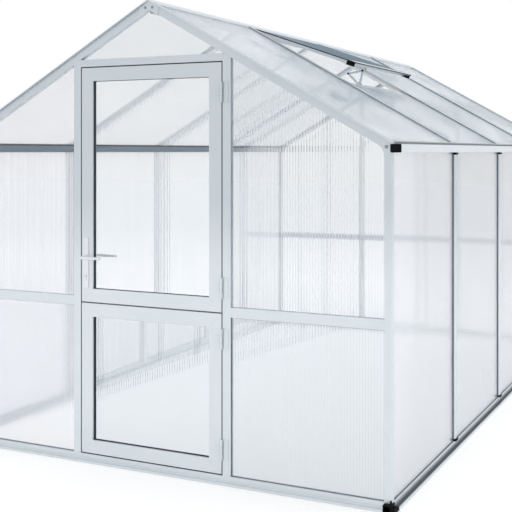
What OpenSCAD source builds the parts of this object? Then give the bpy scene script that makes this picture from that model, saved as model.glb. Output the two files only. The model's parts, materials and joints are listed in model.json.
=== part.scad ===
/* [House] */
// Width over the side walls
house_w = 2480; // [2000:10:3000]
// Depth over the front and back walls
house_d = 4200; // [3600:10:4800]
// Height where the roof plane meets the side wall
eave_z = 1604; // [1500:1:1900]
// Slope of the roof in degrees
pitch = 29.5; // [25:0.5:35]
// Number of sheets along one side
bays = 4; // [4:1:5]

/* [Frame profiles] */
// Depth of the gable frame members, front to back
frame_t = 34; // [30:1:40]
// Width of the corner posts
corner_w = 34; // [30:1:45]
// Height of the base rail
base_h = 40; // [40:1:50]
// Height of the foot flange of the base rail
foot_h = 12; // [8:1:15]
// How far the foot flange stands out
foot_out = 24; // [15:1:30]
// Depth of the rafters, square to the slope
rafter_h = 36; // [36:1:45]
// Bottom of the cross rails in the walls
transom_z = 787; // [700:1:900]
// Height of the cross rails
transom_h = 48; // [30:1:60]
// Width of the cover strips outside
strip_w = 40; // [34:1:50]

/* [Sheets] */
// Thickness of the wall and roof sheets
sheet_t = 10; // [8:1:12]
// Thickness of the glazing in gables and door
pane_t = 8; // [6:1:10]

/* [Door] */
// Half of the clear width between the door posts
door_half = 407; // [380:1:420]
// Width of the door posts
door_post_w = 43; // [35:1:50]
// Bottom of the door head
door_head_z = 1995; // [1980:1:2000]
// Height of the joint between the two leaves
split_z = 805; // [780:1:860]
// Width of the leaf profiles
leaf_w = 68; // [55:1:80]
// Thickness of the leaves
leaf_t = 36; // [34:1:40]
// Gap around the leaves
door_gap = 5.2; // [5:0.1:7]
// Height of the lever spindle
spindle_z = 1035; // [1000:1:1060]

/* [Roof vent] */
// Length of the vent sash down the slope
sash_len = 686; // [600:1:700]
// Angle at which the vent stands open
sash_open = 10; // [6:0.5:12]

/* [Hidden] */
$fn = 48;

silver = [0.82, 0.84, 0.86];
shade = [0.66, 0.70, 0.74];
black = [0.05, 0.05, 0.06];
clear = [0.90, 0.93, 0.96, 0.5];

half_w = house_w / 2;
half_d = house_d / 2;
slope_k = tan(pitch);
apex_z = eave_z + half_w * slope_k;
slope_len = half_w / cos(pitch);
// vertical height of a layer measured square to the slope
upright = 1 / cos(pitch);
// hairline joint between pieces that meet end to end, and between sloping faces
joint = 0.5;
seat = 0.3;
// how far a cutting solid runs past what it cuts
cut = 1;

function roof_z(x) = eave_z + (half_w - abs(x)) * slope_k;
function rafter_under(x) = roof_z(x) - rafter_h * upright;

corner_in = half_w - corner_w;
bay_pitch = house_d / bays;
bar_ys = [for (i = [1 : bays - 1]) i * bay_pitch - half_d];
bay_edges = [for (i = [0 : bays]) i * bay_pitch - half_d];
bar_w = 30;
bar_deep = 18;
web_w = 6;
web_gap = web_w / 2 + joint;

// base rail profile
groove_top = 22;
groove_in = 8;
cap_h = 36;

// roof layers, measured square to the slope from the top of the sheets
cover_t = 7;
verge_out = 16;
ridge_cover_s = 34;
eave_over = 9;
roof_end_s = slope_len + eave_over;
closer_t = 9;
closer_up = 18;
closer_down = 14;
ridge_half = 15;
ridge_deep = 50;

// eave and gutter
gutter_z = 1563;
gutter_h = 37;
gutter_w = 50;
gutter_wall = 3;
end_cap_t = 4;

// side walls
sheet_inset = 6;
sheet_out = half_w - sheet_inset;
sheet_in = sheet_out - sheet_t;
post_in = sheet_in - bar_deep;
strip_proud = 12;
cap_proud = 18;
strip_cap_h = 12;

// gusset plates
gusset_low = 1552;
gusset_in = 89;
ridge_plate = 60;
bend_steps = 8;

// gable glazing
pane_back = 12;
door_post_out = door_half + door_post_w;
head_h = 36;

// leaves
leaf_half = door_half - door_gap;
leaf_pane_back = 19;
lower_z0 = base_h + door_gap;
lower_z1 = split_z - door_gap / 2;
upper_z0 = split_z + door_gap / 2;
upper_z1 = door_head_z - door_gap;

// hinges
hinge_x = door_half - door_gap / 2;
hinge_off = 9;
hinge_y = -half_d - hinge_off;
knuckle_r = 7.5;
knuckle_h = 32;
knuckle_gap = 1;
hinge_h = 3 * knuckle_h + 2 * knuckle_gap;
pin_r = 3;
pin_bore_r = 3.08;
flap_t = 3;
flap_w = 34;
flap_step = 5;
flap_overlap = 2;
upper_hinge_zs = [924, 1848];
lower_hinge_zs = [162, 684];

// lever and lock
handle_in = 29;
handle_x = -leaf_half + handle_in;
plate_w = 30;
plate_z0 = 878;
plate_z1 = 1133;
plate_t = 6;
spindle_r = 4;
spindle_bore_r = 4.08;
spindle_out = 2;
lever_len = 125;
lever_out = 50;
lever_r = 8;
lever_clear = 1;
lock_z = 937;
lock_r = 8.5;
lock_out = 5;

// roof vent, hung between the bars of the second bay of the right slope
vent_y0 = bar_ys[0];
vent_y1 = bar_ys[1];
trimmer_s0 = 690;
trimmer_s1 = 740;
trimmer_drop = 6;
sash_t = 22;
sash_foot = 32;
sash_lip = 38;
sash_lip_t = 8;
sash_drop = 19;
sash_s = ridge_cover_s + joint + sash_t * sin(sash_open);
sash_side = 40;
sash_gap = 24;
sash_y0 = vent_y0 + sash_gap;
sash_w = vent_y1 - vent_y0 - 2 * sash_gap;
pane_l = sash_len - sash_side - sash_foot - sash_lip;
opener_in = 310;
opener_y = vent_y0 + opener_in;
arm_t = 4;
arm_w = 12;
opener_pin_r = 8;
knee_back = 66;
knee_up = 66;
head_in = 57;
head_drop = 22;

// Slope coordinates: x runs down the slope from the apex, z stands square to it
module on_slope() {
    translate([0, 0, apex_z]) rotate([0, pitch, 0]) children();
}

module both_sides() {
    children();
    mirror([1, 0, 0]) children();
}

module both_ends() {
    children();
    mirror([0, 1, 0]) children();
}

// Prism across the gable, from an outline in x and z
module gable_prism(y0, depth, outline) {
    translate([0, y0 + depth, 0]) rotate([90, 0, 0]) linear_extrude(depth) polygon(outline);
}

// Box given by two corners
module block(a, b) {
    translate(a) cube(b - a);
}

// Base rail cross-section: x is the distance in from the wall face, z is up
function base_outline() = [
    [-foot_out, 0], [frame_t, 0], [frame_t, base_h], [0, base_h],
    [0, groove_top], [groove_in, groove_top], [groove_in, foot_h], [-foot_out, foot_h]
];

module base_rails_gable() {
    color(silver) both_ends()
        translate([-corner_in, -half_d, 0]) rotate([90, 0, 90])
            linear_extrude(2 * corner_in) polygon(base_outline());
}

module base_rails_side() {
    color(silver) both_sides()
        translate([half_w, half_d - frame_t, 0]) rotate([90, 0, 0])
            linear_extrude(house_d - 2 * frame_t)
                polygon([for (p = base_outline()) [-p[0], p[1]]]);
}

module base_corner_caps() {
    color(black) both_ends() both_sides()
        block([corner_in, -half_d - foot_out, 0], [half_w + foot_out, -half_d + frame_t, cap_h]);
}

module corner_posts() {
    color(silver) both_ends() both_sides()
        gable_prism(-half_d, frame_t, [
            [corner_in, cap_h], [half_w, cap_h],
            [half_w, rafter_under(half_w) - seat], [corner_in, rafter_under(corner_in) - seat]
        ]);
}

module gable_uprights(y0) {
    both_sides() gable_prism(y0, frame_t, [
        [door_half, base_h], [door_post_out, base_h],
        [door_post_out, rafter_under(door_post_out) - seat],
        [door_half, rafter_under(door_half) - seat]
    ]);
}

module door_posts() {
    color(silver) gable_uprights(-half_d);
}

module door_head() {
    color(silver) block([-door_half, -half_d, door_head_z],
        [door_half, -half_d + frame_t, door_head_z + head_h]);
}

module side_field_transoms(y0) {
    both_sides() block([door_post_out, y0, transom_z],
        [corner_in, y0 + frame_t, transom_z + transom_h]);
}

module front_transoms() {
    color(silver) side_field_transoms(-half_d);
}

module back_mullions() {
    color(silver) gable_uprights(half_d - frame_t);
}

module back_transoms() {
    color(silver) {
        side_field_transoms(half_d - frame_t);
        block([-door_half, half_d - frame_t, transom_z],
            [door_half, half_d, transom_z + transom_h]);
    }
}

module rafter_pair(y0) {
    both_sides() gable_prism(y0, frame_t, [
        [joint, rafter_under(joint)], [half_w, rafter_under(half_w)],
        [half_w, roof_z(half_w)], [joint, roof_z(joint)]
    ]);
}

module front_rafters() {
    color(silver) rafter_pair(-half_d);
}

module back_rafters() {
    color(silver) rafter_pair(half_d - frame_t);
}

module ridge_beam() {
    ridge_low = roof_z(ridge_half) - ridge_deep;
    color(shade) gable_prism(-half_d + frame_t, house_d - 2 * frame_t, [
        [-ridge_half, ridge_low], [ridge_half, ridge_low],
        [ridge_half, roof_z(ridge_half)], [0, apex_z], [-ridge_half, roof_z(ridge_half)]
    ]);
}

module ridge_cover() {
    skirt_x = ridge_cover_s * cos(pitch);
    rise = cover_t * upright;
    color(silver) gable_prism(-half_d - verge_out, house_d + 2 * verge_out, [
        [-skirt_x, roof_z(skirt_x)], [0, apex_z], [skirt_x, roof_z(skirt_x)],
        [skirt_x, roof_z(skirt_x) + rise], [0, apex_z + rise], [-skirt_x, roof_z(skirt_x) + rise]
    ]);
}

// Points on the curve from p to q that bends towards c
function bend(p, c, q) = [
    for (i = [0 : bend_steps]) let (k = i / bend_steps)
        pow(1 - k, 2) * p + 2 * k * (1 - k) * c + pow(k, 2) * q
];

module eave_gusset() {
    gusset_x = half_w - gusset_in;
    gable_prism(-half_d - flap_t, flap_t, concat(
        [[half_w, gusset_low], [half_w, roof_z(half_w) - seat], [gusset_x, roof_z(gusset_x) - seat]],
        bend([gusset_x, rafter_under(gusset_x)],
            [corner_in - gusset_in / 4, gusset_low + corner_w],
            [corner_in, gusset_low])
    ));
}

module ridge_gusset() {
    low = rafter_under(ridge_plate);
    lip = [[-ridge_plate, low], [ridge_plate, low]];
    gable_prism(-half_d - flap_t, flap_t, concat(
        bend(lip[0], [0, rafter_under(0) + ridge_half], lip[1]),
        [[ridge_plate, roof_z(ridge_plate) - seat], [0, apex_z - seat],
            [-ridge_plate, roof_z(ridge_plate) - seat]]
    ));
}

module gusset_plates() {
    color(silver) both_ends() {
        both_sides() eave_gusset();
        ridge_gusset();
    }
}

module eave_beams() {
    under = sheet_t * upright + seat;
    color(shade) both_sides()
        gable_prism(-half_d + frame_t, house_d - 2 * frame_t, [
            [corner_in, gutter_z], [half_w, gutter_z],
            [half_w, roof_z(half_w) - under], [corner_in, roof_z(corner_in) - under]
        ]);
}

module gutters() {
    gutter_top = gutter_z + gutter_h;
    color(silver) both_sides()
        gable_prism(-half_d - verge_out, house_d + 2 * verge_out, [
            [half_w, gutter_z], [half_w + gutter_w, gutter_z], [half_w + gutter_w, gutter_top],
            [half_w + gutter_w - gutter_wall, gutter_top],
            [half_w + gutter_w - gutter_wall, gutter_z + gutter_wall],
            [half_w + gutter_wall, gutter_z + gutter_wall],
            [half_w + gutter_wall, gutter_z + gutter_h / 2], [half_w, gutter_z + gutter_h / 2]
        ]);
}

module gutter_end_caps() {
    cap_y = -half_d - verge_out - end_cap_t;
    color(black) both_ends() both_sides()
        block([half_w, cap_y, gutter_z],
            [half_w + gutter_w, cap_y + end_cap_t, gutter_z + gutter_h]);
}

module eave_closers() {
    color(shade) both_sides() on_slope()
        block([roof_end_s, -half_d - verge_out, -closer_down],
            [roof_end_s + closer_t, half_d + verge_out, closer_up]);
}

module side_posts() {
    color(shade) both_sides() for (y = bar_ys)
        translate([0, y, base_h]) linear_extrude(gutter_z - base_h) polygon([
            [post_in, -bar_w / 2], [sheet_in, -bar_w / 2], [sheet_in, -web_w / 2],
            [sheet_out, -web_w / 2], [sheet_out, web_w / 2], [sheet_in, web_w / 2],
            [sheet_in, bar_w / 2], [post_in, bar_w / 2]
        ]);
}

module side_cover_strips() {
    color(silver) both_sides() for (y = bar_ys)
        block([sheet_out, y - strip_w / 2, base_h + strip_cap_h],
            [sheet_out + strip_proud, y + strip_w / 2, gutter_z - joint - strip_cap_h]);
}

module strip_caps() {
    color(black) both_sides() for (y = bar_ys) for (z = [base_h, gutter_z - joint - strip_cap_h])
        block([sheet_out, y - strip_w / 2, z],
            [sheet_out + cap_proud, y + strip_w / 2, z + strip_cap_h]);
}

module roof_bars() {
    bar_s0 = ridge_half / cos(pitch) + 2 * sheet_t;
    bar_s1 = corner_in / cos(pitch) - 2 * sheet_t;
    color(shade) both_sides() on_slope() for (y = bar_ys)
        translate([bar_s0, y, 0]) rotate([90, 0, 90]) linear_extrude(bar_s1 - bar_s0) polygon([
            [-bar_w / 2, -sheet_t - bar_deep], [bar_w / 2, -sheet_t - bar_deep], [bar_w / 2, -sheet_t],
            [web_w / 2, -sheet_t], [web_w / 2, 0], [-web_w / 2, 0],
            [-web_w / 2, -sheet_t], [-bar_w / 2, -sheet_t]
        ]);
}

module roof_cover_strips() {
    cover_s = ridge_cover_s + 2 * joint;
    cover_end_s = roof_end_s - joint;
    color(silver) both_sides() on_slope() {
        for (y = bar_ys)
            block([cover_s, y - strip_w / 2, seat], [cover_end_s, y + strip_w / 2, cover_t]);
        for (k = [-1, 1])
            translate([cover_s, k * (half_d + verge_out - strip_w / 2) - strip_w / 2, seat])
                cube([cover_end_s - cover_s, strip_w, cover_t - seat]);
    }
}

// The four fields beside the door posts or mullions
module side_field_panes(y0) {
    both_sides() {
        block([door_post_out, y0, base_h], [corner_in, y0 + pane_t, transom_z]);
        gable_prism(y0, pane_t, [
            [door_post_out, transom_z + transom_h], [corner_in, transom_z + transom_h],
            [corner_in, rafter_under(corner_in) - seat],
            [door_post_out, rafter_under(door_post_out) - seat]
        ]);
    }
}

module front_panels() {
    color(clear) side_field_panes(-half_d + pane_back);
}

module front_gable_panel() {
    low = door_head_z + head_h;
    color(clear) gable_prism(-half_d + pane_back, pane_t, [
        [-door_half, low], [door_half, low], [door_half, rafter_under(door_half) - seat],
        [0, rafter_under(0) - seat], [-door_half, rafter_under(door_half) - seat]
    ]);
}

module back_panels() {
    y0 = half_d - pane_back - pane_t;
    color(clear) {
        side_field_panes(y0);
        block([-door_half, y0, base_h], [door_half, y0 + pane_t, transom_z]);
        gable_prism(y0, pane_t, [
            [-door_half, transom_z + transom_h], [door_half, transom_z + transom_h],
            [door_half, rafter_under(door_half) - seat], [0, rafter_under(0) - seat],
            [-door_half, rafter_under(door_half) - seat]
        ]);
    }
}

// Start and end of the sheet in bay i, clear of the frame or of the bar's web
function sheet_y0(i) = bay_edges[i] + (i == 0 ? frame_t : web_gap);
function sheet_y1(i) = bay_edges[i + 1] - (i == bays - 1 ? frame_t : web_gap);

module side_sheets() {
    color(clear) both_sides() for (i = [0 : bays - 1])
        block([sheet_in, sheet_y0(i), base_h], [sheet_out, sheet_y1(i), gutter_z]);
}

module roof_sheets() {
    top_s = ridge_half / cos(pitch) + sheet_t;
    sheet_end_s = roof_end_s - joint;
    color(clear) on_slope() for (i = [0 : bays - 1])
        block([i == 1 ? trimmer_s1 : top_s, sheet_y0(i), -sheet_t], [sheet_end_s, sheet_y1(i), 0]);
    color(clear) mirror([1, 0, 0]) on_slope() for (i = [0 : bays - 1])
        block([top_s, sheet_y0(i), -sheet_t], [sheet_end_s, sheet_y1(i), 0]);
}

module vent_trimmer() {
    color(silver) on_slope()
        block([trimmer_s0, vent_y0 + bar_w / 2, -rafter_h],
            [trimmer_s1 - joint, vent_y1 - bar_w / 2, -trimmer_drop]);
}

// Sash coordinates: x runs from the hinge line down the open sash
module on_sash() {
    on_slope() translate([sash_s, sash_y0, -sash_drop]) rotate([0, -sash_open, 0]) children();
}

module vent_sash() {
    color(silver) on_sash() difference() {
        cube([sash_len, sash_w, sash_t]);
        translate([sash_side, sash_side, -sash_t]) cube([pane_l, sash_w - 2 * sash_side, 3 * sash_t]);
        translate([sash_len - sash_lip, -cut, -cut])
            cube([sash_lip + cut, sash_w + 2 * cut, sash_t - sash_lip_t + cut]);
    }
}

module vent_pane() {
    color(clear) on_sash() translate([sash_side, sash_side, sash_t - sheet_t])
        cube([pane_l, sash_w - 2 * sash_side, sheet_t]);
}

module vent_caps() {
    cap_l = 50;
    cap_in = 6;
    color(black) on_sash() for (y = [-flap_t, sash_w])
        translate([sash_len - cap_l - cap_in, y, -cap_in]) cube([cap_l, flap_t, sash_t + cap_in]);
}

// Points in x and z: s down the slope and t square to it, u down the sash and w square to it
function slope_point(s, t) = [0, apex_z] + s * [cos(pitch), -sin(pitch)] + t * [sin(pitch), cos(pitch)];
function sash_point(u, w) = let (lie = pitch - sash_open)
    slope_point(sash_s, -sash_drop) + u * [cos(lie), -sin(lie)] + w * [sin(lie), cos(lie)];

// Flat bar between two points in x and z, in the plane of the opener
module flat_arm(from, to) {
    reach = to - from;
    translate([from[0], opener_y, from[1]]) rotate([0, -atan2(reach[1], reach[0]), 0])
        translate([0, -arm_t / 2, -arm_w / 2]) cube([norm(reach), arm_t, arm_w]);
}

// Opener near the front of the vent: pins at the trimmer, the knee, the head and under the sash
module vent_openers() {
    foot = slope_point(trimmer_s0 - opener_pin_r - joint, -arm_w);
    knee = foot + [-knee_back, knee_up];
    head = sash_point(sash_len - head_in, -head_drop);
    hook = sash_point(sash_len - head_in + opener_pin_r, -opener_pin_r - seat);
    color(shade) {
        flat_arm(foot, knee);
        flat_arm(knee, head);
        flat_arm(head, foot);
        flat_arm(head, hook);
        for (pin = [foot, knee, head, hook])
            translate([pin[0], opener_y - arm_w, pin[1]]) rotate([-90, 0, 0])
                cylinder(r = opener_pin_r, h = 2 * arm_w);
    }
}

module frame_hinge(z) {
    translate([hinge_x, hinge_y, z - hinge_h / 2]) {
        for (lift = [0, hinge_h - knuckle_h]) translate([0, 0, lift]) {
            cylinder(r = knuckle_r, h = knuckle_h);
            translate([0, hinge_off - flap_t, 0]) cube([flap_w, flap_t, knuckle_h]);
        }
        cylinder(r = pin_r, h = hinge_h);
        translate([knuckle_r + flap_step, hinge_off - flap_t, 0])
            cube([flap_w - knuckle_r - flap_step, flap_t, hinge_h]);
    }
}

module frame_hinges() {
    color(silver) for (z = concat(lower_hinge_zs, upper_hinge_zs)) frame_hinge(z);
}

module leaf_hinge(z) {
    translate([hinge_x, hinge_y, z - knuckle_h / 2]) difference() {
        union() {
            cylinder(r = knuckle_r, h = knuckle_h);
            translate([-flap_w - flap_overlap, hinge_off - flap_t, 0]) cube([flap_w, flap_t, knuckle_h]);
        }
        translate([0, 0, -cut]) cylinder(r = pin_bore_r, h = knuckle_h + 2 * cut);
    }
}

module upper_leaf_hinges() {
    color(silver) for (z = upper_hinge_zs) leaf_hinge(z);
}

module lower_leaf_hinges() {
    color(silver) for (z = lower_hinge_zs) leaf_hinge(z);
}

module leaf_stiles(z0, z1) {
    both_sides() block([leaf_half - leaf_w, -half_d, z0], [leaf_half, -half_d + leaf_t, z1]);
}

module leaf_rails(z0, z1) {
    for (z = [z0, z1 - leaf_w])
        block([-leaf_half + leaf_w, -half_d, z], [leaf_half - leaf_w, -half_d + leaf_t, z + leaf_w]);
}

module leaf_pane(z0, z1) {
    y0 = -half_d + leaf_pane_back;
    block([-leaf_half + leaf_w, y0, z0 + leaf_w], [leaf_half - leaf_w, y0 + pane_t, z1 - leaf_w]);
}

module upper_leaf_stiles() {
    color(silver) difference() {
        leaf_stiles(upper_z0, upper_z1);
        translate([handle_x, -half_d - cut, spindle_z]) rotate([-90, 0, 0])
            cylinder(r = spindle_bore_r, h = leaf_t + 2 * cut);
    }
}

module upper_leaf_rails() {
    color(silver) leaf_rails(upper_z0, upper_z1);
}

module upper_leaf_pane() {
    color(clear) leaf_pane(upper_z0, upper_z1);
}

module lower_leaf_stiles() {
    color(silver) leaf_stiles(lower_z0, lower_z1);
}

module lower_leaf_rails() {
    color(silver) leaf_rails(lower_z0, lower_z1);
}

module lower_leaf_pane() {
    color(clear) leaf_pane(lower_z0, lower_z1);
}

module handle_plates() {
    color(silver) for (y = [-half_d - plate_t, -half_d + leaf_t]) difference() {
        union() {
            block([handle_x - plate_w / 2, y, plate_z0 + plate_w / 2],
                [handle_x + plate_w / 2, y + plate_t, plate_z1 - plate_w / 2]);
            for (z = [plate_z0 + plate_w / 2, plate_z1 - plate_w / 2])
                translate([handle_x, y, z]) rotate([-90, 0, 0]) cylinder(r = plate_w / 2, h = plate_t);
        }
        translate([handle_x, y - cut, spindle_z]) rotate([-90, 0, 0])
            cylinder(r = spindle_bore_r, h = plate_t + 2 * cut);
    }
}

module lock_cylinder() {
    color(shade) for (y = [-half_d - plate_t - lock_out, -half_d + leaf_t + plate_t])
        translate([handle_x, y, lock_z]) rotate([-90, 0, 0]) cylinder(r = lock_r, h = lock_out);
}

// Lever on one side: neck from the plate, then the grip towards the hinges
module lever(y_plate, outward) {
    translate([handle_x, y_plate, spindle_z]) rotate([outward > 0 ? -90 : 90, 0, 0]) {
        translate([0, 0, lever_clear]) cylinder(r = lever_r, h = lever_out + lever_r - lever_clear);
        translate([0, 0, lever_out]) rotate([0, 90, 0]) cylinder(r = lever_r, h = lever_len);
        translate([lever_len, 0, lever_out]) sphere(r = lever_r);
    }
}

module lever_handle() {
    y_out = -half_d - plate_t;
    y_in = -half_d + leaf_t + plate_t;
    color(silver) {
        lever(y_out, -1);
        lever(y_in, 1);
        translate([handle_x, y_out - spindle_out, spindle_z]) rotate([-90, 0, 0])
            cylinder(r = spindle_r, h = leaf_t + 2 * plate_t + 2 * spindle_out);
    }
}

base_rails_gable();
base_rails_side();
base_corner_caps();
corner_posts();
door_posts();
door_head();
front_transoms();
back_mullions();
back_transoms();
front_rafters();
back_rafters();
ridge_beam();
ridge_cover();
gusset_plates();
eave_beams();
gutters();
gutter_end_caps();
eave_closers();
side_posts();
side_cover_strips();
strip_caps();
roof_bars();
roof_cover_strips();
front_panels();
front_gable_panel();
back_panels();
side_sheets();
roof_sheets();
vent_trimmer();
vent_sash();
vent_pane();
vent_caps();
vent_openers();
frame_hinges();
upper_leaf_stiles();
upper_leaf_rails();
upper_leaf_pane();
upper_leaf_hinges();
handle_plates();
lock_cylinder();
lower_leaf_stiles();
lower_leaf_rails();
lower_leaf_pane();
lower_leaf_hinges();
lever_handle();
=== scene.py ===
import json
from math import atan2, cos, pi, radians, sin, tan

import bmesh
import bpy
from mathutils import Matrix, Vector


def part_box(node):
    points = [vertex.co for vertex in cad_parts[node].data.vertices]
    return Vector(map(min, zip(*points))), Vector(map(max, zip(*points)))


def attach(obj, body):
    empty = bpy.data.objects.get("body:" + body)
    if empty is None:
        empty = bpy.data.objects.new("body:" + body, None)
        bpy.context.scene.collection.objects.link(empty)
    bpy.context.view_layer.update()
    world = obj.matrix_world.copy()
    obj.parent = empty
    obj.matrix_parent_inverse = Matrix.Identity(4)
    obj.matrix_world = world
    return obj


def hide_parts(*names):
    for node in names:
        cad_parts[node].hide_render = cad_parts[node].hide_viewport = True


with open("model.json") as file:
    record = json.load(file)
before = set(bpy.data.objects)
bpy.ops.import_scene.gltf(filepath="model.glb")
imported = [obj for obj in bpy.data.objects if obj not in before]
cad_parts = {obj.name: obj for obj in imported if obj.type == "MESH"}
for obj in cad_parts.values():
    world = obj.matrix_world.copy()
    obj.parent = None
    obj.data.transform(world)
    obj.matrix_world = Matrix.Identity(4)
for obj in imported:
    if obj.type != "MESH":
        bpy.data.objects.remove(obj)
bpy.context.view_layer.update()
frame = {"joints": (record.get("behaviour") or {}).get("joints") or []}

# Main places, all taken from the solids
house = {"pitch": radians(29.5), "sheet": 0.01, "pane": 0.008, "bay": 1.05, "rafter": 0.036, "post": 0.034}
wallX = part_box("corner_posts")[1].x
postIn = wallX - house["post"]
frontY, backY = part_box("corner_posts")[0].y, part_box("corner_posts")[1].y
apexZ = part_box("ridge_beam")[1].z
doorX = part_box("door_head")[1].x
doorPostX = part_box("door_posts")[1].x
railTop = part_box("base_rails_side")[1].z
slopeLength = wallX / cos(house["pitch"])
barYs = [frontY + house["bay"] * (i + 1) for i in range(3)]


# Shader building
class Wire:  # one socket that takes part in plain arithmetic
    def __init__(self, finish, socket):
        self.finish, self.socket = finish, socket


def arithmetic(operation, first, second):
    return lambda *terms: terms[0].finish.sum(operation, terms[first], terms[second])


for sign, operation in (("add", "ADD"), ("sub", "SUBTRACT"), ("mul", "MULTIPLY"), ("pow", "POWER")):
    setattr(Wire, "__" + sign + "__", arithmetic(operation, 0, 1))
    setattr(Wire, "__r" + sign + "__", arithmetic(operation, 1, 0))


class Finish:  # a material, or the world, being wired up
    def __init__(self, name, kind=bpy.data.materials):
        self.material = kind.new(name)
        self.material.use_nodes = True
        self.tree = self.material.node_tree
        self.tree.nodes.clear()

    def add(self, kind, settings, values, output=0):
        made = self.tree.nodes.new("ShaderNode" + kind)
        for name, value in settings.items():
            setattr(made, name, value)
        for name, value in values.items():
            if isinstance(value, Wire):
                self.tree.links.new(value.socket, made.inputs[name])
            else:
                made.inputs[name].default_value = value
        return Wire(self, made.outputs[output]) if made.outputs else made

    def sum(self, operation, first, second):
        return self.add("Math", {"operation": operation}, {0: first, 1: second})

    def least(self, first, second):
        return self.sum("MINIMUM", first, second)

    def size(self, value):
        return self.sum("ABSOLUTE", value, 0)

    def below(self, value, limit):
        return self.sum("LESS_THAN", value, limit)

    def place(self):
        return self.add("TexCoord", {}, {}, "Object")

    def axes(self):
        parts = self.add("SeparateXYZ", {}, {0: self.place()}).socket.node.outputs
        return [Wire(self, parts[i]) for i in range(3)]

    def join(self, x, y, z):
        return self.add("CombineXYZ", {}, {0: x, 1: y, 2: z})

    def noise(self, where, scale, detail=2.0, rough=0.5):
        return self.add("TexNoise", {}, {"Vector": where, "Scale": scale, "Detail": detail, "Roughness": rough})

    def cells(self, scale):
        return self.add("TexVoronoi", {}, {"Vector": self.place(), "Scale": scale}, "Distance")

    def ramp(self, value, low, high):
        return self.add("MapRange", {}, {0: value, 1: low, 2: high})

    def mix(self, factor, first, second, way="MIX"):
        first, second = ((*c, 1) if isinstance(c, tuple) else c for c in (first, second))
        return self.add("Mix", {"data_type": "RGBA", "blend_type": way}, {0: factor, 6: first, 7: second}, 2)

    def seen(self):  # 1 for what shows in the picture, straight, mirrored or through clear parts
        outputs = self.add("LightPath", {}, {}).socket.node.outputs
        camera, glossy, passed = (Wire(self, outputs["Is " + k + " Ray"]) for k in ("Camera", "Glossy", "Transmission"))
        return self.least(1, camera + glossy + passed)

    def surface(self, colour, roughness, bump=(), more=()):  # bump: its height, strength and depth
        values = {"Base Color": colour, "Roughness": roughness, **dict(more)}
        if bump:
            values["Normal"] = self.add("Bump", {}, dict(zip(("Height", "Strength", "Distance"), bump)))
        self.add("OutputMaterial", {}, {"Surface": self.add("BsdfPrincipled", {}, values)})
        return self.material


# Metals
# upper and turn are the colour and the heights of the painted shade that darkens frames towards the roof
metalLook = {
    "pale": (0.82, 0.864, 0.891), "dull": (0.68, 0.733, 0.765), "metallic": 0.6, "gloss": 0.32, "fine": 700.0,
    "stretch": 0.012, "upper": (0.82, 0.83, 0.85), "turn": (0.98, 1.33), "bump": (0.12, 0.0004),
}


def metalTone(finish, tone, paintedShadeUp=1):  # painted shade: frames darker towards the roof
    low = finish.mix(tone, metalLook["pale"], metalLook["dull"])
    return finish.mix(paintedShadeUp * finish.ramp(finish.axes()[2], *metalLook["turn"]), low, metalLook["upper"], "MULTIPLY")


def drawnLines(finish, across, beside, along):  # fine hairs and broader streaks along the profile
    fine = finish.noise(finish.join(across, beside, along * metalLook["stretch"]), metalLook["fine"], 3.0)
    return fine, finish.noise(finish.join(across, beside, along * 0.05), 90.0, 2.0)


def metalGrain(finish, across, beside, along, paintedLightAndShadeTint=(1, 1, 1), paintedTintFade=0, metallic=metalLook["metallic"], paintedShadeUp=1):
    fine, drawn = drawnLines(finish, across, beside, along)
    place = finish.join(across, beside, along)
    cloud = finish.noise(place, 2.3, 3.0)
    handled = finish.ramp(finish.noise(place, 14.0, 5.0, 0.62), 0.52, 0.78)
    tone = metalTone(finish, 0.45 * cloud + 0.3 * drawn + 0.25 * fine + 0.12 * handled, paintedShadeUp)
    # the tint multiplies the colour: painted light on some members, painted shade on others; the fade takes it away
    return finish.surface(
        finish.mix(1 - paintedTintFade, tone, paintedLightAndShadeTint, "MULTIPLY"),
        metalLook["gloss"] + 0.14 * (fine - 0.5) + 0.1 * drawn + 0.1 * handled,
        (0.6 * fine + 0.4 * drawn, *metalLook["bump"]), {"Metallic": metallic})


def drawnMetal(name, along, *look):
    finish = Finish(name)
    x, y, z = finish.axes()
    return metalGrain(finish, *{"x": (y, z, x), "y": (x, z, y), "z": (x, y, z)}[along], *look)


def slopeMetal(name, lean, paintedLightAndShadeTint=(1, 1, 1), *look):  # grain runs down both roof slopes
    finish = Finish(name)
    x, y, z = finish.axes()
    side = finish.size(x)
    along, across = side * cos(lean) - z * sin(lean), side * sin(lean) + z * cos(lean)
    # on the roof bars the tint is painted light, full at the front and fading out between y 0.2 and 0.6
    return metalGrain(finish, across, y, along, paintedLightAndShadeTint, finish.ramp(y, 0.2, 0.6), *look)


def mitredMetal(name, halfWidth, low, high, shown):  # grain turns at the mitres of a leaf
    finish = Finish(name)
    x, y, z = finish.axes()
    sideways = halfWidth - finish.size(x)
    upright = finish.least(z - low, high - z)
    stile = finish.below(sideways, upright)
    line = finish.below(finish.size(sideways - upright), 0.0005) * finish.below(sideways, shown)
    fine, drawn = drawnLines(finish, stile * x + (1 - stile) * z, y, stile * z + (1 - stile) * x)
    metal = metalTone(finish, 0.45 * finish.noise(finish.place(), 2.3, 3.0) + 0.3 * drawn + 0.25 * fine)
    return finish.surface(
        finish.mix(0.25 * line, metal, (0.2, 0.21, 0.23)),
        metalLook["gloss"] + 0.14 * (fine - 0.5) + 0.1 * drawn + 0.2 * line,
        (0.6 * fine + 0.4 * drawn - 2 * line, *metalLook["bump"]), {"Metallic": metalLook["metallic"]})


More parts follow.
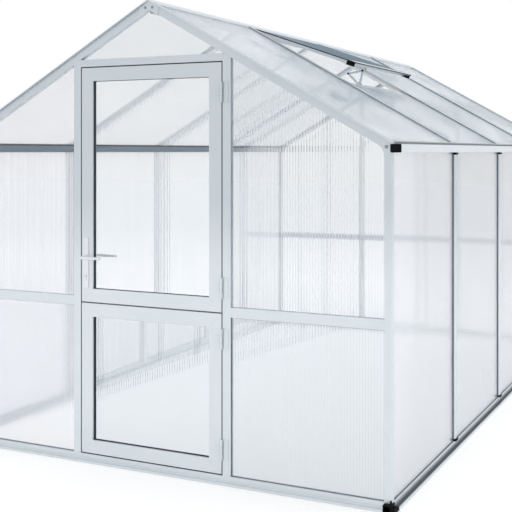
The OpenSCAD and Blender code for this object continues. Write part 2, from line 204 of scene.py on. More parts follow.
def brushedSteel():
    finish = Finish("brushedSteel")
    x, y, z = finish.axes()
    hair = finish.noise(finish.join(x * 60, y * 900, z * 900), 1.0, 3.0)
    smear = finish.noise(finish.place(), 22.0, 4.0)
    return finish.surface(
        finish.mix(0.5 * hair + 0.5 * smear, (0.86, 0.87, 0.89), (0.7, 0.72, 0.75)),
        0.2 + 0.16 * hair + 0.08 * smear, (hair, 0.08, 0.0002), {"Metallic": 0.85})


def zincSteel():
    finish = Finish("zincBolts")
    spangle = finish.cells(650.0)
    dirt = finish.noise(finish.place(), 180.0, 4.0)
    return finish.surface(
        finish.mix(0.6 * dirt + 0.3 * spangle, (0.42, 0.44, 0.47), (0.2, 0.21, 0.23)),
        0.34 + 0.2 * dirt, (spangle, 0.15, 0.0003), {"Metallic": 0.8})


# Plastics and rubber
def mouldedPlastic():
    finish = Finish("blackMoulding")
    leather = finish.cells(900.0)
    dust = finish.ramp(finish.noise(finish.place(), 35.0, 5.0, 0.6), 0.48, 0.8)
    return finish.surface(
        finish.mix(0.5 * dust, (0.0025, 0.003, 0.0045), (0.014, 0.015, 0.018)),
        0.55 + 0.15 * leather + 0.15 * dust, (leather, 0.25, 0.0003), {"Specular IOR Level": 0.12})


def sealRubber(name, deep, pale):
    finish = Finish(name)
    bloom = finish.noise(finish.place(), 60.0, 5.0, 0.6)
    pores = finish.noise(finish.place(), 1400.0, 2.0)
    return finish.surface(finish.mix(bloom, deep, pale), 0.62 + 0.2 * pores, (pores, 0.3, 0.0002),
                          {"Specular IOR Level": 0.25})


def foamTape():
    finish = Finish("foamTape")
    cells = finish.cells(1100.0)
    stain = finish.noise(finish.place(), 9.0, 4.0)
    return finish.surface(finish.mix(0.6 * stain + 0.3 * cells, (0.88, 0.9, 0.92), (0.74, 0.76, 0.79)),
                          0.7 + 0.15 * cells, (cells, 0.2, 0.0003))


def ridgedRubber():
    finish = Finish("ridgedRubber")
    ribs = finish.sum("PINGPONG", finish.axes()[1] * 100, 0.5) * 2
    bloom = finish.noise(finish.place(), 40.0, 5.0, 0.6)
    return finish.surface(finish.mix(0.6 * bloom + 0.4 * ribs, (0.05, 0.06, 0.075), (0.16, 0.18, 0.21)),
                          0.55 + 0.2 * bloom, (ribs, 0.6, 0.001))


# Sheets
sheetLook = {"ribPitch": 0.014, "ribWidth": 0.0006, "frost": 0.042, "low": (1.0, 0.75),
             "plain": ((0.22, 0.3, 0.37), (0.36, 0.44, 0.5)), "milky": ((0.74, 0.79, 0.84), (0.86, 0.89, 0.92))}


def sheetFields(finish, along):  # the axes, soft waves, upright streaks and the place across one flute
    x, y, z = finish.axes()
    wave = finish.noise(finish.place(), 5.0, 2.0)
    streak = finish.noise(finish.join(x, y, z * 0.06), 14.0, 3.0)
    sag = finish.sum("PINGPONG", {"x": x, "y": y}[along] * (1 / sheetLook["ribPitch"]), 0.5)
    return (x, y, z), wave, streak, sag


def sheetSkin(name, haze, rim, along, ribs=0.0, tones=sheetLook["plain"], sky=None, edge=0.0):
    # a thin clear skin: haze is how much shows face on, rim how much more at a low angle, ribs how the flutes
    # show, edge the white band of painted light beside the bars; sky gives faces that look up a painted, cloudy sky
    # reflection
    finish = Finish(name)
    (x, y, z), wave, streak, sag = sheetFields(finish, along)
    # a white band beside each bar: painted light over the dark cavity lines there
    frost = finish.below(finish.sum("PINGPONG", y - barYs[0], house["bay"] / 2), sheetLook["frost"])
    white = ribs * finish.ramp(sag, 0.26, 0.36) + edge * frost
    rimPart = finish.add("LayerWeight", {}, {"Blend": 0.5}, "Facing") ** 6
    alpha = haze * (0.75 + 0.5 * streak) + rimPart * (rim * (0.8 + 0.4 * wave))
    colour = finish.mix(0.5 * wave + 0.5 * streak, *tones)
    # painted sky reflection: faces looking up get cloudy blue-grey colour, veins and more alpha
    if sky:
        cloud = finish.ramp(finish.noise(finish.join(x, y * 0.4, z), 2.2, 4.0, 0.6), 0.38, 0.62)
        vein = finish.ramp(finish.noise(finish.join(x, y * 0.5, z), 5.5, 4.0, 0.6), 0.55, 0.68)
        normal = finish.add("NewGeometry", {}, {}, "True Normal")
        up = finish.ramp(finish.add("SeparateXYZ", {}, {0: normal}, 2), 0.3, 0.6)
        alpha = alpha + up * (sky["sheen"] * (1.35 - 0.8 * cloud) + sky["vein"] * vein)
        gloss = finish.mix(0.8 * cloud + 0.2 * streak - 0.6 * vein, sky["deep"], sky["pale"])
        colour = finish.mix(up, colour, gloss)
        white = white * (1 - up)
    return finish.surface(
        finish.mix(finish.below(0.01, white), colour, (0.93, 0.96, 0.99)), 0.1 + 0.14 * wave,
        (sag * 0.5 + wave * 0.5, 0.12, 0.0012),
        {"Specular IOR Level": sky["shine"] if sky else 0.5, "Alpha": finish.least(1, alpha + white)})


def glassySheet(name, along, crest, deep, pale, foot=0.0, soft=0.0):
    # a sheet whose flutes bend what is seen through it: crest is how far their tops stand out, foot how much
    # painted shade darkens it low down, soft how rough it is there
    finish = Finish(name)
    axes, wave, streak, sag = sheetFields(finish, along)
    low = finish.ramp(axes[2], *sheetLook["low"])
    paintedShadeLow = finish.mix(foot * low, (1, 1, 1), (0.87, 0.885, 0.9))
    tone = finish.mix(0.5 * wave + 0.5 * streak, deep, pale)
    return finish.surface(
        finish.mix(1, tone, paintedShadeLow, "MULTIPLY"), low * soft if soft else 0.0,
        (finish.ramp(sag, 0.25, 0.5) + 0.1 * wave, 1.0, crest), {"IOR": 1.45, "Transmission Weight": 1.0})


def ribFinish(name, deep, pale, alpha=0):  # glassy, or with an alpha a thin milky plastic
    finish = Finish(name)
    wave = finish.noise(finish.place(), 3.0, 3.0)
    tone = finish.mix(wave, deep, pale)
    if alpha:
        return finish.surface(tone, 0.25 + 0.15 * wave, (), {"Alpha": finish.least(1, alpha * (0.9 + 0.2 * wave))})
    return finish.surface(tone, 0.0, (), {"IOR": 1.03, "Transmission Weight": 1.0})


# bright is painted light: it makes paler copies of the same metal
steep, paintedLightBoost, milky = house["pitch"], (1.2, 1.15, 1.12), sheetLook["milky"]
metalX, metalZ = drawnMetal("drawnMetalX", "x"), drawnMetal("drawnMetalZ", "z")
metalY = drawnMetal("drawnMetalY", "y", (1, 1, 1), 0, metalLook["metallic"], 0)
# eave closers: the same metal darkened, painted shade
paintedShadeCloser = drawnMetal("drawnMetalCloser", "y", (0.58, 0.58, 0.58), 0, metalLook["metallic"], 0)
# side posts, rear mullions and transoms and roof bars are the same metal made paler with bright: painted light
paintedLightPost, paintedLightBack, paintedLightBackX = (drawnMetal("drawnMetal" + k, along, paintedLightBoost, 0, 0.1, 0)
                                    for k, along in (("Post", "z"), ("Back", "z"), ("BackX", "x")))
paintedLightLeftZ, paintedLightLeftBar = drawnMetal("paleMetalZ", "z", paintedLightBoost, 0, 1.0, 0), slopeMetal("paleMetalBar", steep, paintedLightBoost, 1.0, 0)
metalSlope, paintedLightRightBar = slopeMetal("drawnMetalSlope", steep), slopeMetal("drawnMetalBar", steep, paintedLightBoost, 0.1, 0)
metalSash = slopeMetal("drawnMetalSash", steep - radians(10))
# eave beams tinted dark blue-grey over most of their length: painted shade, fading out towards the back
finish = Finish("drawnMetalEave")
x, y, z = finish.axes()
paintedShadeEave = metalGrain(finish, x, z, y, (0.25, 0.31, 0.37), finish.ramp(y, 1.1, 2.0))
steel, bolts = brushedSteel(), zincSteel()
plastic, trackRubber, foam = mouldedPlastic(), ridgedRubber(), foamTape()
rubber = sealRubber("sealRubber", (0.016, 0.021, 0.028), (0.06, 0.072, 0.086))
greyRubber = sealRubber("greyRubber", (0.09, 0.12, 0.15), (0.2, 0.25, 0.29))
blueRubber = sealRubber("blueRubber", (0.15, 0.21, 0.26), (0.44, 0.52, 0.6))
gableSkin, backSkin = sheetSkin("gableSheetSkin", 0.035, 0.2, "x"), sheetSkin("backSheetSkin", 0.035, 0.2, "x", 0.04)
leftSkin = sheetSkin("leftSheetSkin", 0.2, 0.3, "y", 0.04, milky, edge=0.7)
leftFieldSkin = glassySheet("leftFieldSkin", "x", 0.0001, (0.95, 0.94, 0.95), (0.98, 0.975, 0.98), 0.7, 0.14)
ribbedSkin = glassySheet("ribbedSheetSkin", "x", 0.0005, (0.835, 0.85, 0.865), (0.865, 0.88, 0.89), 0.8)
rightSkin = glassySheet("rightSheetSkin", "y", 0.0002, (0.85, 0.875, 0.915), (0.885, 0.905, 0.94), soft=0.03)
upperPaneSkin = glassySheet("upperPaneSkin", "x", 0.00006, (0.94, 0.95, 0.955), (0.97, 0.975, 0.98))
# the lower door pane is tinted darker than the upper one: painted shade
lowerPaneSkin = glassySheet("lowerPaneSkin", "x", 0.0003, (0.82, 0.84, 0.86), (0.85, 0.87, 0.885), 0.5)
# roof and sash skins carry a painted sky reflection on their up-facing faces, darkest on the sash pane
frontRoofSkin, roofSkin, sashSkin = (
    sheetSkin(name, haze, 0.2, "y", 0.0, milky, dict(zip(("sheen", "shine", "vein", "deep", "pale"), sky)), edge)
    for name, haze, edge, sky in (
        ("frontRoofSheetSkin", 0.14, 0.6, (0.24, 0.15, 0.22, (0.42, 0.5, 0.56), (0.76, 0.81, 0.85))),
        ("roofSheetSkin", 0.14, 0.6, (0.36, 0.15, 0.2, (0.24, 0.32, 0.39), (0.6, 0.69, 0.76))),
        ("sashPaneSkin", 0.1, 0.0, (1.3, 0.0, 0.0, (0.19, 0.24, 0.28), (0.3, 0.37, 0.44)))))
gableRibs = ribFinish("gableRibs", (0.975, 0.98, 0.985), (0.99, 0.995, 1.0))
sideRibs, roofRibs = (ribFinish(k + "Ribs", (0.93, 0.95, 0.97), (0.97, 0.98, 0.99), 0.06) for k in ("side", "roof"))
print("materials ready")


# Modelling helpers
def pairs(*numbers):  # millimetres in a row, read as points
    return [(a / 1000, b / 1000) for a, b in zip(numbers[::2], numbers[1::2])]


def mirrored(half, peak=()):  # an outline from its right half, over a peak on the middle line
    return [*half, *peak, *((-a, b) for a, b in reversed(half))]


def groove(low):  # right half of a bolt channel that opens downwards
    return [(0.007, low + 0.008), (0.007, low + 0.002), (0.004, low + 0.002), (0.004, low)]


def vertsIn(geom):
    return [g for g in geom if isinstance(g, bmesh.types.BMVert)]


def facesIn(geom):
    return [g for g in geom if isinstance(g, bmesh.types.BMFace)]


def edgesOf(verts):
    return {e for v in verts for e in v.link_edges}


def edgesAt(verts, y):  # the edges that lie in the plane at y
    return {e for e in edgesOf(verts) if all(abs(u.co.y - y) < 1e-6 for u in e.verts)}


def edgesAcross(verts, thick):  # the edges that run through a plate
    return {e for e in edgesOf(verts) if abs(e.verts[0].co.y - e.verts[1].co.y) > thick / 2}


def added(bm, before):
    return [v for v in bm.verts if v not in before]


def soften(bm, edges, width, steps=1):
    bmesh.ops.bevel(bm, geom=list(edges), offset=width, offset_type="OFFSET", segments=steps,
                    profile=0.5, affect="EDGES", material=-1, clamp_overlap=True)


def extrude(bm, outline, axis, start, stop, edge=0.0007):
    # outline: pairs in the two other axes, drawn as one face and pulled from start to stop
    before = set(bm.verts)
    at = "xyz".index(axis)
    near = [bm.verts.new((*p[:at], start, *p[at:])) for p in outline]
    far = vertsIn(bmesh.ops.extrude_face_region(bm, geom=[bm.faces.new(near)])["geom"])
    bmesh.ops.translate(bm, verts=far, vec=[stop - start if i == at else 0 for i in range(3)])
    if edge:
        soften(bm, {e for e in edgesOf(near) if not set(e.verts) <= set(near)}, edge)
    return added(bm, before)


def block(bm, first, second, edge=0.001):  # a box between two corners, given in any order
    before = set(bm.verts)
    low, high = Vector(map(min, first, second)), Vector(map(max, first, second))
    place = Matrix.Translation((low + high) / 2) @ Matrix.Diagonal((*(high - low), 1))
    corners = bmesh.ops.create_cube(bm, size=1, matrix=place)["verts"]
    if edge:
        soften(bm, edgesOf(corners), edge)
    return added(bm, before)


def barrel(bm, centre, direction, radius, length, rim=0.001, sides=24):
    # a round bar about its centre, with its rims rounded over
    before = set(bm.verts)
    turn = Vector(direction).to_track_quat("Z", "Y").to_matrix().to_4x4()
    made = bmesh.ops.create_cone(bm, cap_ends=True, segments=sides, radius1=radius, radius2=radius,
                                 depth=length, matrix=Matrix.Translation(centre) @ turn)["verts"]
    if rim:
        caps = {f for v in made for f in v.link_faces if len(f.verts) > 4}
        soften(bm, {e for f in caps for e in f.edges}, rim, 2)
    return added(bm, before)


def bolt(bm, seat, direction, radius, height, sides=6):
    # washer and head on the point where they meet the plate
    seat, direction = Vector(seat), Vector(direction)
    barrel(bm, seat + direction * 0.0006, direction, radius * 1.55, 0.0012, 0.0003)
    barrel(bm, seat + direction * (0.0012 + height / 2), direction, radius, height, 0.0006, sides)


def trim(bm, verts, point, normal):
    # cuts the solid these vertices make and closes it again; the side the normal points to goes
    verts = [v for v in verts if v.is_valid]
    faces = {f for v in verts for f in v.link_faces}
    before = set(bm.verts) - set(verts)
    cut = bmesh.ops.bisect_plane(bm, geom=[*verts, *edgesOf(verts), *faces], plane_co=point, plane_no=normal,
                                 clear_outer=True, dist=1e-6)["geom_cut"]
    bmesh.ops.holes_fill(bm, edges=[e for e in cut if isinstance(e, bmesh.types.BMEdge)], sides=0)
    return added(bm, before)


def moved(bm, verts, matrix):
    bmesh.ops.transform(bm, matrix=matrix, verts=[v for v in verts if v.is_valid])
    return verts


def piece(name, bm, slotName, material, standsFor="", body="house", smooth=False):
    # closes a mesh, hangs it on its body and hides the solids it stands for
    bmesh.ops.recalc_face_normals(bm, faces=bm.faces)
    if smooth:
        for face in bm.faces:
            face.smooth = True
        for edge in bm.edges:
            edge.smooth = len(edge.link_faces) == 2 and edge.calc_face_angle(pi) < radians(38)
    mesh = bpy.data.meshes.new(name)
    bm.to_mesh(mesh)
    bm.free()
    made = bpy.data.objects.new(name, mesh)
    bpy.context.scene.collection.objects.link(made)
    mesh.materials.append(material)
    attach(made, body)
    if standsFor:
        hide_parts(*standsFor.split())
    return made


def roofZ(x):
    return apexZ - abs(x) * tan(house["pitch"])


def roofPlane(side):  # x down the slope, y along the ridge, z square to the slope
    lean, k = house["pitch"], side
    return Matrix(((k * cos(lean), 0, k * sin(lean), 0), (0, 1, 0, 0), (-sin(lean), 0, cos(lean), apexZ), (0, 0, 0, 1)))


def roofNormal(side):
    return Vector((side * sin(house["pitch"]), 0, cos(house["pitch"])))


def channelOutline(low, high, face, rear):
    # a drawn section with a bolt channel in its rear face
    middle, sign = (low + high) / 2, 1 if face > rear else -1
    lip, deep = rear + sign * 0.002, rear + sign * 0.007
    channel = mirrored([(0.004, rear), (0.004, lip), (0.007, lip), (0.007, deep)])
    return [(low, face), (high, face), (high, rear), *((middle + a, b) for a, b in channel), (low, rear)]


def alongWalls(bm, section, ends, edge=0.0007):  # a run on each side of the house, between y ends
    for k in (-1, 1):
        extrude(bm, [(k * a, b) for a, b in section], "y", *ends, edge)


# Base
corners = [(k, m) for k in (-1, 1) for m in (-1, 1)]
inside = (frontY + house["post"], backY - house["post"])
base = {
    "foot": pairs(-34, 0, 24, 0, 24, 10.5, 22.5, 12),
    "track": pairs(17.5, 12, 17.5, 3.6, -4.5, 3.6, -4.5, 21.5, 0, 23.5),
    "plain": pairs(3, 12, 1.6, 12.8, 1.6, 14.5, 0, 15),
    "head": pairs(0, 40, -2.8, 40, -2.8, 37.5, -6.5, 37.5, -6.5, 40, -34, 40),
    "insert": pairs(-4.2, 3.8, 17.2, 3.8, 17.2, 7.2, 15, 8.2, 12, 6.8, 8.5, 8.2, 5, 6.8, 1.5, 8.2, -4.2, 7.8),
    "lip": pairs(-5.9, 38, -3.2, 38, -3.6, 43.2, -5.9, 43.2),
}
bm = bmesh.new()
for k in (-1, 1):
    section = base["foot"] + base["plain"] + base["head"]
    extrude(bm, [(k * (backY + o), z) for o, z in section], "x", -postIn, postIn, 0.0005)
piece("baseRailGables", bm, "aluminium", metalX, "base_rails_gable")
bm = bmesh.new()
alongWalls(bm, [(wallX + o, z) for o, z in base["foot"] + base["track"] + base["head"]], inside, 0.0005)
piece("baseRailSides", bm, "aluminium", metalY, "base_rails_side")
bm = bmesh.new()
for section in (base["insert"], base["lip"]):
    alongWalls(bm, [(wallX + o, z) for o, z in section], (inside[0] + 0.002, inside[1] - 0.002), 0)
piece("baseTrackInserts", bm, "black_plastic", trackRubber)

bm = bmesh.new()  # corner caps: a tall block, a low foot round the side and a small clip
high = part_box("base_corner_caps")[1]
for k, m in corners:
    for first, second, edge in (
            ((postIn, inside[1], 0), (wallX + 0.004, high.y, high.z), 0.003),
            ((wallX - 0.002, inside[1], 0), (high.x, high.y, 0.02), 0.003),
            ((wallX - 0.006, backY + 0.001, high.z - 0.004), (wallX + 0.003, backY + 0.006, 0.05), 0.0012),
            ((postIn + 0.004, high.y - 0.0005, 0.006), (wallX - 0.002, high.y, 0.028), 0.0002)):
        moved(bm, block(bm, first, second, edge), Matrix.Diagonal((k, m, 1, 1)))
piece("cornerCaps", bm, "black_plastic", plastic, "base_corner_caps")
print("base done")

# Gable frames: face and rear of each, and the three fields between their uprights
front, back = (frontY, inside[0]), (backY, inside[1])
fields = [(-postIn, -doorPostX), (-doorX, doorX), (doorPostX, postIn)]
uprights = {"seat": 0.0003, "cap": 0.036}
under = house["rafter"] + uprights["seat"] * cos(house["pitch"])
rafterDrop = house["rafter"] / cos(house["pitch"])


def upright(bm, side, low, high, gable, foot):
    made = extrude(bm, [(side * a, b) for a, b in channelOutline(low, high, *gable)], "z", foot, apexZ)
    trim(bm, made, roofPlane(side) @ Vector((0, 0, -under)), roofNormal(side))


bm = bmesh.new()
for k in (-1, 1):
    for gable in (front, back):
        upright(bm, k, postIn, wallX, gable, uprights["cap"])
piece("cornerPosts", bm, "aluminium", metalZ, "corner_posts")
for name, node, metal, gable in (("doorPosts", "door_posts", metalZ, front),
                                 ("backMullions", "back_mullions", paintedLightBack, back)):
    bm = bmesh.new()
    for k in (-1, 1):
        upright(bm, k, doorX, doorPostX, gable, railTop)
    piece(name, bm, "aluminium", metal, node)

for name, node, metal, spans in (("doorHead", "door_head", metalX, fields[1:2]),
                                 ("frontTransoms", "front_transoms", metalX, fields[::2]),
                                 ("backTransoms", "back_transoms", paintedLightBackX, fields)):
    low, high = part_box(node)
    face, rear = (low.y, high.y) if low.y < 0 else (high.y, low.y)
    bm = bmesh.new()
    for span in spans:
        extrude(bm, [(b, a) for a, b in channelOutline(low.z, high.z, face, rear)], "x", *span)
    piece(name, bm, "aluminium", metal, node)

for name, node, gable in (("frontRafters", "front_rafters", front), ("backRafters", "back_rafters", back)):
    bm = bmesh.new()
    for k in (-1, 1):
        section = [(b, a) for a, b in channelOutline(-house["rafter"], 0, *gable)]
        made = moved(bm, extrude(bm, section, "x", -0.05, slopeLength + 0.05), roofPlane(k))
        made = trim(bm, made, (k * 0.0005, 0, 0), (-k, 0, 0))
        trim(bm, made, (k * wallX, 0, 0), (k, 0, 0))
    piece(name, bm, "aluminium", metalSlope, node)

plates = {"thick": 0.003, "fillet": 0.0372, "reach": wallX - 0.089, "ridge": 0.06, "seam": 0.0005}


def gussetPlates(bm, boltsBm, m):  # one at each eave and one at the ridge of a gable
    outer = m * (backY + plates["thick"])
    low, reach, ridgeX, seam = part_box("gusset_plates")[0].z, plates["reach"], plates["ridge"], plates["seam"]
    bend = roofZ(postIn) - rafterDrop
    for k in (-1, 1):
        corner = [(wallX, low), (wallX, roofZ(wallX) - seam), (reach, roofZ(reach) - seam),
                  (reach, roofZ(reach) - rafterDrop), (postIn, bend), (postIn, low)]
        made = extrude(bm, [(k * a, b) for a, b in corner], "y", m * backY, outer, 0)
        inner = [v for v in made if abs(v.co.x - k * postIn) < 1e-5 and abs(v.co.z - bend) < 1e-5]
        soften(bm, {e for e in edgesOf(inner) if set(e.verts) <= set(inner)}, plates["fillet"], 10)
        bolt(boltsBm, (k * (wallX - 0.023), outer, roofZ(wallX) - 0.016), (0, m, 0), 0.0055, 0.003)
        bolt(boltsBm, (k * 0.02, outer, apexZ - 0.034), (0, m, 0), 0.0045, 0.003)
    half = [(ridgeX - 0.012, roofZ(ridgeX) - rafterDrop), (ridgeX, roofZ(ridgeX) - seam)]
    peak = [(0, apexZ - rafterDrop - 0.002), *half, (0, apexZ - seam), *((-a, b) for a, b in reversed(half))]
    extrude(bm, peak, "y", m * backY, outer, 0)


bm, boltsBm = bmesh.new(), bmesh.new()
for m in (-1, 1):
    gussetPlates(bm, boltsBm, m)
piece("gussetPlates", bm, "aluminium", metalZ, "gusset_plates")
piece("gussetBolts", boltsBm, "brushed_steel", bolts, smooth=True)
print("gable frames done")

# Eaves, gutters and ridge
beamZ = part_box("eave_beams")[0].z
gutterLow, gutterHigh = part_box("gutters")
gutterEnds = (gutterLow.y, gutterHigh.y)
sheetDrop = house["sheet"] / cos(house["pitch"]) + 0.0003
bm = bmesh.new()
alongWalls(bm, [(postIn, beamZ), (wallX, beamZ), (wallX, roofZ(wallX) - sheetDrop), (postIn, roofZ(postIn) - sheetDrop),
                (postIn, beamZ + 0.03), (postIn + 0.004, beamZ + 0.028), (postIn + 0.004, beamZ + 0.008),
                (postIn, beamZ + 0.006)], inside)
piece("eaveBeams", bm, "aluminium", paintedShadeEave, "eave_beams")
bm = bmesh.new()  # seal between the beam and the roof sheets, seen from inside
for k in (-1, 1):
    high = roofZ(postIn) - sheetDrop - 0.0004
    block(bm, (k * (postIn - 0.0016), inside[0] + 0.002, high - 0.009), (k * postIn, inside[1] - 0.002, high), 0.0004)
piece("eaveSeals", bm, "black_plastic", rubber)

bm = bmesh.new()
wide, low, high = gutterHigh.x, gutterLow.z, gutterHigh.z
section = [(wallX + a, low + b) for a, b in pairs(2.2, 18.5, 0, 18.5, 0, 0.5, 4, 0)]
section += [(wide + a, low + b) for a, b in pairs(-6, 0, -1.5, 4.5, 0, 12)]
section += [(wide + a, high + b) for a, b in pairs(0, -1, -1, 0, -6, 0, -6, -2, -2.2, -3)]
section += [(wide + a, low + b) for a, b in pairs(-2.2, 12, -4, 6, -7.5, 2.2)]
section += [(wallX + a, low + b) for a, b in pairs(3, 2.2, 2.2, 4)]
alongWalls(bm, section, gutterEnds, 0.0003)
piece("gutters", bm, "aluminium", metalY, "gutters")

bm = bmesh.new()
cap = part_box("gutter_end_caps")[1]
for k, m in corners:
    outline = [(k * wallX, low), (k * cap.x, low), (k * cap.x, cap.z), (k * wallX, cap.z)]
    plate = extrude(bm, outline, "y", m * gutterHigh.y, m * cap.y, 0.003)
    soften(bm, edgesAt(plate, m * cap.y), 0.0008)
    block(bm, (k * (wallX + 0.008), m * (gutterHigh.y - 0.004), low + 0.006),
          (k * (cap.x - 0.008), m * gutterHigh.y, low + 0.028))
piece("gutterEndCaps", bm, "black_plastic", plastic, "gutter_end_caps")

closer = pairs(0, -14, 6, -14, 9, -10, 9, 10, 6, 11.5, 6, 13.5, 9, 15, 7, 18, 0, 18)
bm = bmesh.new()
for k in (-1, 1):
    section = [(slopeLength + 0.009 + s, t) for s, t in closer]
    moved(bm, extrude(bm, section, "y", *gutterEnds, 0.0005), roofPlane(k))
piece("eaveClosers", bm, "aluminium", paintedShadeCloser, "eave_closers")

ridge = {"half": 0.015, "deep": 0.05, "skirt": 0.034 * cos(house["pitch"])}
half, high = ridge["half"], roofZ(ridge["half"])
low = high - ridge["deep"]
bm = bmesh.new()
section = [*groove(low), (half, low), (half, high - 0.014), (half - 0.004, high - 0.012), (half - 0.004, high - 0.004),
           (half, high - 0.002), (half, high)]
extrude(bm, mirrored(section, [(0, apexZ)]), "y", *inside, 0.0004)
piece("ridgeBeam", bm, "aluminium", metalY, "ridge_beam")

coverLow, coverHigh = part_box("ridge_cover")
rise, skirtX = coverHigh.z - apexZ, ridge["skirt"]
crown = pairs(8.5, -2, 10, -4.5, 12, -4.5, 13.5, -0.6, 21.5, -0.6, 23, -4.5, 25, -4.5, 26.2, -1)
section = [(skirtX, roofZ(skirtX) + 0.0002), (skirtX, roofZ(skirtX) + rise - 0.001),
           *((x, roofZ(x) + rise + d) for x, d in reversed(crown))]
bm = bmesh.new()
extrude(bm, [(0, apexZ + 0.0002), *mirrored(section, [(0, apexZ + rise)])], "y", coverLow.y, coverHigh.y, 0)
piece("ridgeCover", bm, "aluminium", metalY, "ridge_cover")
bm = bmesh.new()
for k in (-1, 1):
    for x in (0.011, 0.024):
        block(bm, (k * (x - 0.0009), coverLow.y + 0.0005, roofZ(x) + rise - 0.0052),
              (k * (x + 0.0009), coverHigh.y - 0.0005, roofZ(x) + rise - 0.0026), 0)
piece("ridgeSeals", bm, "black_plastic", rubber)
print("eaves and ridge done")

# Side and roof bars
bars = {"half": 0.015, "web": 0.003, "deep": 0.018, "strip": 0.02, "lift": 0.003, "seal": (0.0182, 0.0194),
        "tape": (0.0035, 0.0182), "inner": (0.0105, 0.0145), "screw": 0.0042}
sheetOut = wallX - 0.006
sheetIn = sheetOut - house["sheet"]
stripEnds = [p.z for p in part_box("side_cover_strips")]


def barOutline(depth, top):
    # inner bar section, from its back up to its web, with a bolt channel and two seal grooves
    h, w, under = bars["half"], bars["web"], top - house["sheet"]
    low, seat = under - depth, under - 0.0003
    return mirrored([*groove(low), (h, low), (h, under - 0.002), (h - 0.005, under - 0.002), (h - 0.005, seat),
                     (w, seat), (w, top)])


def stripOutline(base, top):
    # crowned outer strip with a shallow groove down its middle
    half = bars["strip"]
    return mirrored([(half, base), (half, base + 0.0035), (0.0165, top - 0.002), (0.01, top - 0.0004), (0.0035, top),
                     (0.0022, top - 0.0016)])


strips, seals, tapes, screws = (bmesh.new() for i in range(4))
proud = sheetOut + bars["lift"]
for k, name, metal in ((-1, "sidePostsLeft", paintedLightLeftZ), (1, "sidePostsRight", paintedLightPost)):
    posts = bmesh.new()
    for y in barYs:
        extrude(posts, [(k * t, y + a) for a, t in barOutline(bars["deep"], sheetOut)], "z", railTop, beamZ, 0.0004)
        section = [(k * t, y + a) for a, t in stripOutline(proud, sheetOut + 0.012)]
        extrude(strips, section, "z", *stripEnds, 0.0005)
        for m in (-1, 1):
            for bm, x0, x1, (y0, y1), (z0, z1) in (
                    (seals, sheetOut, proud, bars["seal"], stripEnds),
                    (tapes, sheetOut + 0.0002, proud, bars["tape"], stripEnds),
                    (tapes, sheetIn - 0.0018, sheetIn, bars["inner"], (railTop, beamZ))):
                block(bm, (k * x0, y + m * y0, z0), (k * x1, y + m * y1, z1), 0)
        for z in (0.2, 0.58, 0.96, 1.34):
            barrel(screws, (k * (sheetOut + 0.0108), y, z), (k, 0, 0), bars["screw"], 0.002, 0.0007, 16)
    piece(name, posts, "aluminium", metal, "side_posts")
piece("sideCoverStrips", strips, "aluminium", metalZ, "side_cover_strips")

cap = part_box("strip_caps")[1]
bm = bmesh.new()
for k in (-1, 1):
    for y in barYs:
        for low, high in ((railTop, stripEnds[0]), (stripEnds[1], cap.z)):
            block(bm, (k * sheetOut, y - 0.02, low), (k * cap.x, y + 0.02, high), 0.0018)
            middle = (low + high) / 2
            block(bm, (k * (sheetOut + 0.001), y - 0.0205, middle - 0.0008),
                  (k * (sheetOut + 0.0165), y + 0.0205, middle + 0.0008), 0.0004)
piece("stripCaps", bm, "black_plastic", plastic, "strip_caps")

roofRun = {"barStart": 0.03723, "barEnd": postIn / cos(house["pitch"]) - 0.02, "stripStart": 0.035,
           "sealStart": 0.0375, "end": slopeLength + 0.0085, "ventEnd": 0.74}
strips, roofSeals = bmesh.new(), bmesh.new()
for k, name, metal in ((-1, "roofBarsLeft", paintedLightLeftBar), (1, "roofBarsRight", paintedLightRightBar)):
    posts = bmesh.new()
    for y in barYs:
        section = [(y + a, t) for a, t in barOutline(bars["deep"], 0)]
        moved(posts, extrude(posts, section, "x", roofRun["barStart"], roofRun["barEnd"], 0.0004), roofPlane(k))
        for m in (-1, 1):
            besideVent = k == 1 and barYs[0] < y + m * 0.1 < barYs[1]
            start, stop = roofRun["ventEnd" if besideVent else "sealStart"], roofRun["end"] - 0.0003
            for bm, end, (y0, y1), t0, t1 in ((roofSeals, stop, bars["seal"], 0.0003, 0.0032),
                                              (tapes, stop, bars["tape"], 0.0003, 0.003),
                                              (tapes, roofRun["barEnd"], bars["inner"], -0.0118, -0.01)):
                moved(bm, block(bm, (start, y + m * y0, t0), (end, y + m * y1, t1), 0), roofPlane(k))
    piece(name, posts, "aluminium", metal, "roof_bars")
    for y in [*barYs, backY - 0.004, frontY + 0.004]:
        section = [(y + a, t) for a, t in stripOutline(bars["lift"] if y in barYs else 0.0003, 0.007)]
        moved(strips, extrude(strips, section, "x", roofRun["stripStart"], roofRun["end"], 0.0004), roofPlane(k))
        for s in (0.12, 0.5, 0.9, 1.3):
            barrel(screws, roofPlane(k) @ Vector((s, y, 0.0062)), roofNormal(k), bars["screw"], 0.0014, 0.0005, 16)
piece("roofCoverStrips", strips, "aluminium", metalSlope, "roof_cover_strips")
piece("barSeals", seals, "black_plastic", rubber)
piece("roofBarSeals", roofSeals, "black_plastic", greyRubber)
piece("barTapes", tapes, "polycarbonate", foam)
piece("stripScrews", screws, "brushed_steel", bolts, smooth=True)
print("bars done")

# Sheets with their ribs
ribHalf, skinThick = sheetLook["ribWidth"] / 2, 0.0006


def ribLines(low, high):
    pitch = sheetLook["ribPitch"]
    count = int((high - low) / pitch)
    first = (low + high - (count - 1) * pitch) / 2
    return [first + i * pitch for i in range(count)]


def rafterZ(x):
    return roofZ(x) - rafterDrop - 0.0003


